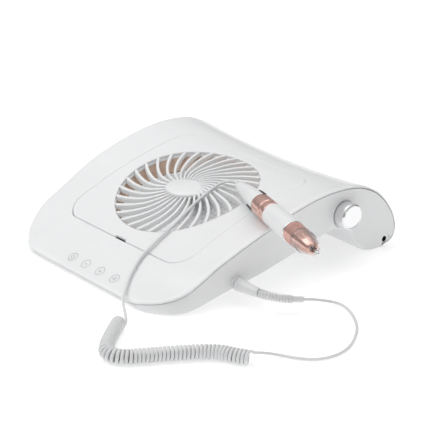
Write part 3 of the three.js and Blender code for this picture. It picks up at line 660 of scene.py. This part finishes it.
def grille_vane(start):
    """One swept vane: a tall thin fin with a rounded top, leaning clockwise towards the rim."""
    radii = np.concatenate([np.linspace(HUB_RADIUS - 9, GRILLE_RADIUS - 1.2, 28), [GRILLE_RADIUS - 0.45]])
    shares = np.clip((radii - HUB_RADIUS) / (GRILLE_RADIUS - HUB_RADIUS), -0.25, 1)
    angles = start - VANE_SWEEP * np.sign(shares) * np.abs(shares) ** 0.9
    half = np.interp(shares, [-0.25, 0, 0.3, 1], [0.7, 0.95, 1.3, 1.75])
    half[-1] -= 0.35
    right_half = [(0.25, 0), (0.66, -0.06), (0.93, -0.22), (1, -0.5), (1, -1)]
    section = [(-across, down) for across, down in reversed(right_half)] + right_half
    loops = []
    for radius, angle, wide in zip(radii, angles, half):
        top = float(grille_height(radius))
        bottom = -2.4 if radius > HUB_RADIUS + 2 else 0.2
        loop = []
        for across, down in section:
            rise = bottom if down == -1 else top + down * 1.5
            loop.append(grille_at(radius, angle + across * wide / radius, rise))
        loops.append(loop)
    return lofted(loops)


def grille():
    parts = [grille_vane(2 * math.pi * i / GRILLE_RIBS) for i in range(GRILLE_RIBS)]
    angles = np.linspace(0, 2 * math.pi, 256, endpoint=False)
    rim = [
        (GRILLE_RADIUS + 0.9, -2.6), (GRILLE_RADIUS + 0.9, -0.5), (GRILLE_RADIUS - 0.7, -0.5),
        (GRILLE_RADIUS - 0.95, -0.75), (GRILLE_RADIUS - 0.95, -2.6),
    ]
    parts.append(lofted([grille_at(radius, angles, rise) for radius, rise in rim], closed=True))
    base = float(over_plan(GRILLE_X, GRILLE_Y, 0)[2])
    dome = [(0, base - 0.4), (HUB_RADIUS - 1, base - 0.4)]
    for share in np.linspace(0, 1, 18):
        radius = HUB_RADIUS * math.cos(share * math.pi / 2)
        dome.append((radius, base + 2.6 + 4.0 * math.sin(share * math.pi / 2) ** 0.9))
    dome[-1] = (0, dome[-1][1])
    parts.append(turned(dome, 128, (GRILLE_X, GRILLE_Y, 0), (0, 0, 1)))
    points, faces = joined(parts)
    return make_mesh(
        "grille_pinwheel", points, faces, WHITE, "filter_cover", ["fan_grille"], 50)


def filter_cassette():
    """The lift-out filter: a tan ring whose collar reaches up to the grille, and its woven disc."""
    origin = from_tilted([(0, 0, 0)])[0]
    axis = from_tilted([(0, 0, 1)])[0] - origin
    ring = [
        (56, 19.5), (63.3, 19.5), (63.4, 23.2), (63.1, 23.4), (60, 23.4), (59.7, 23.2), (59.7, 20.3),
        (56, 20.3),
    ]
    angles = np.linspace(0, 2 * math.pi, 192, endpoint=False)
    low = from_tilted(np.stack([np.cos(angles) * 62.9, np.sin(angles) * 62.9, np.full(192, 23.35)], -1))
    high = grille_at(66.9, angles, -2.8)
    walls = []
    shares = np.linspace(0, 1, 12)
    for inset, upward in ((0.0, shares), (1.1, shares[::-1])):
        for share in upward:
            wall = low + (high - low) * share
            middle = wall.mean(0)
            inward = middle - wall
            inward[:, 2] = 0
            inward /= np.linalg.norm(inward, axis=1, keepdims=True)
            walls.append(wall + inward * (inset + 0.25 * (int(share * 11) in (4, 5))))
    points, faces = joined([turned(ring, 128, origin, axis), lofted(walls, closed=True)])
    make_mesh("filter_ring", points, faces, TAN, "filter", ["filter_frame"])
    media = [(0, 20.6), (56, 20.6), (59.4, 20.8), (59.4, 22.0)]
    media += [(59.4 * math.cos(a), 22.0 + 0.35 * math.sin(a)) for a in np.linspace(0.1, math.pi / 2, 10)]
    media[-1] = (0, media[-1][1])
    points, faces = turned(media, 128, origin, axis)
    make_mesh("filter_mesh", points, faces, MESH, "filter", ["filter_media"])


# ---- Touch keys ----
def on_cover(x, y, lift):
    """A point on the cover's outer skin near the front, lifted along the skin's normal."""
    u, t = parameters_at(x, y)
    return seam_point(u, t) + seam_normal(u, t) * (skin_rise(u, t) + lift)[..., None]


def printed_band(x0, path, width, closed=False):
    """A thin printed line on a key along plan offsets (dx, dy) from the key's centre."""
    path = np.array(path, float)
    ahead, behind = np.roll(path, -1, 0), np.roll(path, 1, 0)
    if not closed:
        ahead[-1], behind[0] = path[-1], path[0]
    along = ahead - behind
    along /= np.linalg.norm(along, axis=1, keepdims=True)
    side = np.stack([-along[:, 1], along[:, 0]], -1) * width / 2
    loops = []
    for a, b in zip(path - side, path + side):
        corners = [(a, PRINT_BOTTOM), (b, PRINT_BOTTOM), (b, PRINT_TOP), (a, PRINT_TOP)]
        loops.append([on_cover(x0 + p[0], KEY_Y + p[1], np.array(h)) for p, h in corners])
    return lofted(loops, closed)


def arc(radius, start, end, count=28, centre=(0, 0)):
    return [
        (centre[0] + radius * math.cos(a), centre[1] + radius * math.sin(a))
        for a in np.radians(np.linspace(start, end, count))
    ]


def key_symbols(name, x):
    """Ring and generic symbol printed on a key."""
    ring = arc(4.45, 0, 360, 49)[:-1]
    parts = [printed_band(x, ring, 0.32, closed=True)]
    if name == "power":
        parts += [printed_band(x, arc(1.7, 120, 420), 0.36), printed_band(x, [(0, 0.6), (0, 2.3)], 0.36)]
    if name in ("minus", "plus"):
        parts.append(printed_band(x, [(-1.5, 0), (1.5, 0)], 0.36))
    if name == "plus":
        parts.append(printed_band(x, [(0, -1.5), (0, -0.25)], 0.36))
        parts.append(printed_band(x, [(0, 0.25), (0, 1.5)], 0.36))
    if name == "light":
        for k in range(3):
            turn = 90 + 120 * k
            centre = (0.95 * math.cos(math.radians(turn)), 0.95 * math.sin(math.radians(turn)))
            parts.append(printed_band(x, arc(0.95, turn - 170, turn + 40, 14, centre), 0.32))
    return parts


def touch_keys():
    angles = np.linspace(0, 2 * math.pi, 48, endpoint=False)
    outline = [
        (0.01, -1.0), (KEY_RADIUS, -1.0), (KEY_RADIUS, 0.03), (KEY_RADIUS - 0.15, 0.09),
        (KEY_RADIUS * 0.6, 0.06), (0.01, 0.06),
    ]
    for name, x in KEY_X.items():
        loops = []
        for radius, lift in outline:
            dx, dy = radius * np.cos(angles), radius * np.sin(angles)
            loops.append(on_cover(x + dx, KEY_Y + dy, np.array(lift)))
        points, faces = lofted(loops)
        make_mesh(f"key_{name}", points, faces, KEY, "root", [f"touch_key_{name}"])
        points, faces = joined(key_symbols(name, x))
        make_mesh(f"key_print_{name}", points, faces, PRINT, "root")


# ---- Side controls ----
def controls():
    at_knob = (0, KNOB_Y, KNOB_Z)
    along_x = (1, 0, 0)
    knob = rounded(
        [(8.6, 121.0), (KNOB_RADIUS - 0.3, 121.0), (KNOB_RADIUS, 121.6), (KNOB_RADIUS, KNOB_FACE - 1.6),
         (KNOB_RADIUS - 1.5, KNOB_FACE - 0.1), (KNOB_RADIUS - 2.4, KNOB_FACE - 0.5),
         (0, KNOB_FACE - 0.8)], 0.4)
    knob += [(0, 126.4), (8.6, 126.4)]
    points, faces = turned(knob[-1:] + knob[:-1], 96, at_knob, along_x)
    make_mesh("knob_cap", points, faces, BRUSHED, "knob", ["speed_knob"], 30)
    bezel = rounded(
        [(12.9, 120.1), (14.6, 120.1), (14.6, 120.3), (14.2, 120.55), (13.3, 120.55), (12.9, 120.3)], 0.1)
    points, faces = turned(bezel, 96, at_knob, along_x)
    make_mesh("knob_collar", points, faces, WHITE, "root", ["knob_bezel"])
    jack = [
        (0, 107), (3.7, 107), (3.7, 117.2), (2.86, 117.4), (2.8, 119.4), (2.5, 119.5), (2.4, 110.4),
        (1, 110.4), (1, 117.6), (0.7, 118), (0, 118),
    ]
    points, faces = turned(jack, 48, (0, JACK_Y, JACK_Z), along_x)
    make_mesh("power_jack", points, faces, BLACK, "root", ["dc_jack"])
    led = [(0, 115), (1.1, 115), (1.1, 120.0), (0.8, 120.25), (0, 120.35)]
    points, faces = turned(led, 32, (0, LED_Y, LED_Z), along_x)
    make_mesh("led_lens", points, faces, LENS, "root", ["status_led"])


# ---- Cord ----
def frames_along(path):
    """Two normals along a path, which do not twist about it."""
    path = np.asarray(path, float)
    tangents = np.gradient(path, axis=0)
    tangents /= np.linalg.norm(tangents, axis=1, keepdims=True)
    normals = np.zeros(path.shape)
    start = np.cross(tangents[0], (0, 0, 1))
    normals[0] = start / np.linalg.norm(start)
    for i in range(1, len(path)):
        flat = normals[i - 1] - tangents[i] * (normals[i - 1] @ tangents[i])
        normals[i] = flat / np.linalg.norm(flat)
    return normals, np.cross(tangents, normals)


def tube(path, radii, sides):
    """A round body along a path, with a radius at each of its points."""
    normals, others = frames_along(path)
    angles = np.linspace(0, 2 * math.pi, sides, endpoint=False)
    loops = []
    for centre, normal, other, radius in zip(path, normals, others, radii):
        circle = np.outer(np.cos(angles), normal) + np.outer(np.sin(angles), other)
        loops.append(centre + radius * circle)
    return lofted(loops)


def even_path(points, spacing):
    """The smooth curve through a route's points, in nearly equal steps."""
    dense = catmull_rom(points, 40)
    along = np.concatenate([[0], np.cumsum(np.linalg.norm(np.diff(dense, axis=0), axis=1))])
    steps = np.linspace(0, along[-1], max(2, round(along[-1] / spacing) + 1))
    return np.stack([np.interp(steps, along, dense[:, k]) for k in range(3)], -1)


def helix_path():
    """The curly stretch: turns of the cord round the coil's axis."""
    axis = even_path(COIL_ROUTE, COIL_PITCH / TURN_POINTS)
    tangents = np.gradient(axis, axis=0)
    tangents /= np.linalg.norm(tangents, axis=1, keepdims=True)
    side = np.cross((0, 0, 1), tangents)
    side /= np.linalg.norm(side, axis=1, keepdims=True)
    turns = round(len(axis) / TURN_POINTS) - 0.17
    angles = math.radians(50) + np.linspace(0, 2 * math.pi * turns, len(axis))
    radius = COIL_RADIUS - CORD_RADIUS
    return axis + radius * (-side * np.cos(angles)[:, None] + np.outer(np.sin(angles), (0, 0, 1)))


def cord():
    """The whole cord as one tube, with its centreline in metres and its length."""
    helix = helix_path()
    lead_in = catmull_rom([LOOP_ROUTE[-2], LOOP_ROUTE[-1], helix[0], helix[4]], 12)[12:24]
    lead_out = catmull_rom([helix[-5], helix[-1], UPPER_ROUTE[0], UPPER_ROUTE[1]], 12)[13:24]
    in_sleeve = even_path(RELIEF_ROUTE, CORD_STEP)[-6:-1]
    loop, upper = even_path(LOOP_ROUTE, CORD_STEP)[:-1], even_path(UPPER_ROUTE, CORD_STEP)
    path = np.vstack([in_sleeve, loop, lead_in, helix, lead_out, upper])
    path[-1] = TAIL - TOOL_AXIS * 0.3
    radii = np.full(len(path), STRAIGHT_RADIUS)
    before = len(in_sleeve) + len(loop) + len(lead_in)
    radii[before : before + len(helix)] = CORD_RADIUS
    points, faces = tube(path, radii, 12)
    piece = make_mesh(
        "handpiece_cord", points, faces, JACKET, None,
        ["cord_loop", "curly_cord_long", "curly_cord_bend", "curly_cord_short", "cord_upper"], 60)
    length = float(np.linalg.norm(np.diff(path, axis=0), axis=1).sum()) / 1000
    return piece, place(path), length


def plug_and_relief():
    """The tapered plug body, and the strain relief behind it: ribs, then a plain sleeve."""
    step, plug_count, gap_count, rib_pitch = 0.25, 92, 2, 2.6
    route = even_path(RELIEF_ROUTE, step)
    shares = np.linspace(0, 1, plug_count)
    end_round = np.clip((shares - 0.95) / 0.05, 0, 1) ** 2
    points, faces = tube(route[:plug_count], 6.5 - 2.3 * shares**0.8 - 0.7 * end_round, 40)
    plug = make_mesh("cord_plug_body", points, faces, JACKET, "root", ["cord_plug"])
    rest = route[plug_count + gap_count :]
    shares = np.linspace(0, 1, len(rest))
    along = shares * len(rest) * step
    end_round = np.clip((shares - 0.95) / 0.05, 0, 1) ** 2
    ribs = np.where(np.sin(along * 2 * math.pi / rib_pitch) > -0.1, 4.15, 3.15) - 0.6 * shares
    plain = np.where(shares < 0.5, 3.1, 2.75 - 0.5 * end_round)
    ribbed = (shares < 0.72) & (along > 0.6)
    points, faces = tube(rest, np.where(ribbed, ribs, plain), 32)
    relief = make_mesh(
        "cord_relief_body", points, faces, JACKET, "root", ["strain_relief"])
    return plug, relief


# ---- Handpiece ----
def tool_piece(name, outline, mat, body, replaces, sides=72):
    """A piece turned about the tool's axis, with heights measured from the tail."""
    points, faces = turned(outline, sides, TAIL, TOOL_AXIS)
    make_mesh(name, points, faces, mat, body, replaces, 30)


def knurled_ring(name, outline, mat, body, replaces):
    """A turned ring whose outside carries a knurl of small raised blocks along its length."""
    sides, rows, bore, raised, cut = 324, 46, 6.7, 0.15, -0.3
    low, high = outline[0][1], outline[-1][1]
    heights = np.linspace(low, high, rows)
    radii = np.interp(heights, [p[1] for p in outline], [p[0] for p in outline])
    outside = [(radii[0] - 0.3, low), *zip(radii, heights)]
    points, faces = turned([(bore, low), *outside, (bore, high)], sides, TAIL, TOOL_AXIS)
    along = (points - TAIL) @ TOOL_AXIS
    outward = points - TAIL - np.outer(along, TOOL_AXIS)
    outward /= np.linalg.norm(outward, axis=1, keepdims=True)
    row = np.arange(len(points)) // sides - 2
    column = np.arange(len(points)) % sides
    surface = (row >= 0) & (row < rows)
    knurled = surface & (row > 5) & (row < rows - 4)
    block = knurled & (column % 9 < 5) & (row % 7 < 5)
    groove = knurled & ~block
    points = points + outward * np.where(block, raised, np.where(groove, cut, 0.0))[:, None]
    make_mesh(name, points, faces, mat, body, replaces, 40)


def tool_slots():
    """The two dark slots on opposite sides of the boot, just behind the rear ring."""
    side = np.cross(TOOL_AXIS, (0, 0, 1))
    side /= np.linalg.norm(side)
    up = np.cross(side, TOOL_AXIS)
    width, start_s, end_s = 19, 41.5, 51.9
    section = [(a, -0.5) for a in np.linspace(0, width, 7)] + [(a, 0.6) for a in np.linspace(width, 0, 7)]
    for name, start in (("left", 104.0), ("right", -30.0)):
        loops = []
        for s in np.linspace(start_s, end_s, 9):
            radius = float(np.interp(s, [40, 46, end_s], [9.15, 9.55, 9.66]))
            loop = []
            for degrees, rise in section:
                angle = math.radians(start + degrees)
                outward = side * math.cos(angle) + up * math.sin(angle)
                loop.append(TAIL + TOOL_AXIS * s + outward * (radius + rise))
            loops.append(loop)
        points, faces = lofted(loops)
        make_mesh(f"tool_slot_{name}", points, faces, BLACK, "handpiece")


def handpiece():
    """Every piece of the handpiece from the tail to the bit: outlines are (radius, height)."""
    heights = np.linspace(2.5, 51, 34)
    radii = np.interp(heights, [2.5, 6, 12, 24, 36, 46, 51], [4.0, 4.9, 5.7, 7.4, 8.8, 9.5, 9.6])
    boot = [(0, 0), (2.3, 0.05), (2.8, 0.4), (3.2, 1.2), *zip(radii, heights)]
    boot += [(9.5, 51.6), (9.3, 51.8), (0, 51.8)]
    tool_piece("tool_boot", boot, WHITE, "handpiece", ["handpiece_boot"])
    tool_slots()
    ring = rounded(
        [(7, 52.0), (9.4, 52.0), (9.95, 52.6), (10.0, 67.6), (9.3, 68.3), (9.3, 70.3), (10.0, 71.0),
         (10.0, 77.0), (9.6, 77.6), (7, 77.6)], 0.3)
    tool_piece("tool_rear_ring", ring, ROSE, "handpiece", ["handpiece_rear_ring"])
    barrel = rounded([(8.3, 78.0), (9.7, 78.0), (10.2, 78.7), (10.2, 120.2), (9.8, 120.9), (8.3, 120.9)], 0.5)
    tool_piece("tool_barrel", barrel, WHITE, "handpiece", ["handpiece_barrel"])
    trim = rounded([(8.3, 121.3), (10.1, 121.3), (10.2, 121.9), (10.0, 122.5), (8.3, 122.5)], 0.2)
    tool_piece("tool_trim", trim, CHROME, "handpiece", ["barrel_trim_ring"])
    lock = [(9.8, 122.8), (9.9, 124.4), (9.7, 125.2), (9.5, 137.2)]
    knurled_ring("tool_lock_ring", lock, ROSE, "lock_ring", ["lock_ring"])
    nose = rounded(
        [(4.5, 137.5), (8.6, 137.5), (8.5, 139), (8.1, 145), (6.9, 153), (5.0, 160), (4.2, 161.3),
         (2.9, 161.5), (2.9, 148), (4.5, 148)], 0.5)
    tool_piece("tool_nose", nose, ROSE, "handpiece", ["nose_cone"])
    cap = rounded(
        [(9.2, 137.5), (10.15, 137.5), (10.2, 141), (10.0, 146), (8.9, 154), (7.2, 160.5), (5, 163.4),
         (2.2, 164.4), (2.2, 163.5), (4.5, 162.6), (6.4, 160), (8.1, 153.6), (9.1, 146)], 1.6, 6)
    tool_piece("tool_clear_cap", cap, CLEAR, "nose_cap", ["clear_nose_cap"])
    bit = rounded(
        [(0, 157.3), (1.17, 157.3), (1.17, 166), (1.55, 167), (1.6, 170), (1.1, 172.2), (0.4, 172.9),
         (0, 172.95)], 0.3)
    tool_piece("tool_bit", bit, STEEL, "spindle", ["drill_bit"], 32)


# ---- Carried-over CAD pieces ----
def dress_cad():
    """Materials on the CAD pieces that show as they are."""
    wearers = [
        (DUCT, ["fan_volute", "volute_lid"]),
        (BLACK, ["fan_impeller"]),
        (BOARD, ["main_board", "touch_board"]),
        (SHELL, ["handpiece_socket"]),
        (RUBBER, ["front_foot_strip", "rear_foot_strip"]),
        (STEEL, [
            "fan_motor", "fan_bearing", "fan_shaft", "speed_potentiometer", "potentiometer_nut",
            "potentiometer_shaft", "handpiece_motor", "front_bearing", "chuck_spindle",
        ]),
    ]
    looks = {name: mat for mat, names in wearers for name in names}
    for name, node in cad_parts.items():
        mat = STEEL if name.startswith("case_screw") else looks.get(name)
        if mat:
            node.data.materials.clear()
            node.data.materials.append(mat)


# ---- Studio ----
def studio():
    """Pale paper floor, a sky that is darker at the horizon, and three soft lights."""
    floor = bpy.data.meshes.new("floor")
    size = 6.0
    corners = [(-size, -size, 0), (size, -size, 0), (size, size, 0), (-size, size, 0)]
    floor.from_pydata(corners, [], [(0, 1, 2, 3)])
    plane = bpy.data.objects.new("floor", floor)
    bpy.context.scene.collection.objects.link(plane)
    paper = material("paper_floor", (0.92, 0.92, 0.92), 0.9, variation=0.003)
    shader = paper.node_tree.nodes["Principled BSDF"]
    shader.inputs["Emission Color"].default_value = (1, 1, 1, 1)
    shader.inputs["Emission Strength"].default_value = 0.35
    floor.materials.append(paper)
    world = bpy.data.worlds.new("studio")
    world.use_nodes = True
    nodes, links = world.node_tree.nodes, world.node_tree.links
    where = nodes.new("ShaderNodeTexCoord")
    split = nodes.new("ShaderNodeSeparateXYZ")
    links.new(where.outputs["Generated"], split.inputs["Vector"])
    ramp = nodes.new("ShaderNodeValToRGB")
    ramp.color_ramp.elements[0].position = 0.02
    ramp.color_ramp.elements[0].color = (0.30, 0.30, 0.31, 1)
    ramp.color_ramp.elements[1].position = 0.55
    ramp.color_ramp.elements[1].color = (1, 1, 1, 1)
    links.new(split.outputs["Z"], ramp.inputs["Fac"])
    links.new(ramp.outputs["Color"], nodes["Background"].inputs["Color"])
    nodes["Background"].inputs["Strength"].default_value = 0.55
    bpy.context.scene.world = world
    bpy.context.scene.view_settings.view_transform = "Standard"
    aim = Vector((0, 0.12, 0.03))
    for name, spot, size, power in (
        ("key_light", (-0.8, -0.7, 1.5), 1.3, 11),
        ("top_light", (-0.2, 0.4, 1.8), 1.8, 11),
        ("side_light", (1.8, -0.2, 0.7), 0.8, 1.5),
    ):
        data = bpy.data.lights.new(name, "AREA")
        data.size = size
        data.energy = power
        lamp = bpy.data.objects.new(name, data)
        lamp.location = spot
        lamp.rotation_euler = (aim - Vector(spot)).to_track_quat("-Z", "Y").to_euler()
        bpy.context.scene.collection.objects.link(lamp)


def camera():
    """A viewpoint in front and to the right of the housing, a little above it."""
    azimuth, elevation, distance = math.radians(49.2), math.radians(23.2), 1.728
    target = Vector(place((-38.0, 51.6, 0)))
    level = math.cos(elevation)
    toward = Vector((level * math.sin(azimuth), -level * math.cos(azimuth), math.sin(elevation)))
    data = bpy.data.cameras.new("camera")
    data.sensor_width = 36.0
    data.lens = 150.7
    data.clip_end = 50
    eye = bpy.data.objects.new("camera", data)
    eye.location = target + toward * distance
    eye.rotation_euler = (-toward).to_track_quat("-Z", "Y").to_euler()
    bpy.context.scene.collection.objects.link(eye)
    bpy.context.scene.camera = eye


camera()
cord_piece, cord_points, cord_length = cord()
plug_piece, relief_piece = plug_and_relief()
handpiece()
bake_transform(cord_piece)

cut_holes(tub(), shell_holes())
top_cover()
filter_cover()
grille()
filter_cassette()
touch_keys()
controls()
dress_cad()
studio()
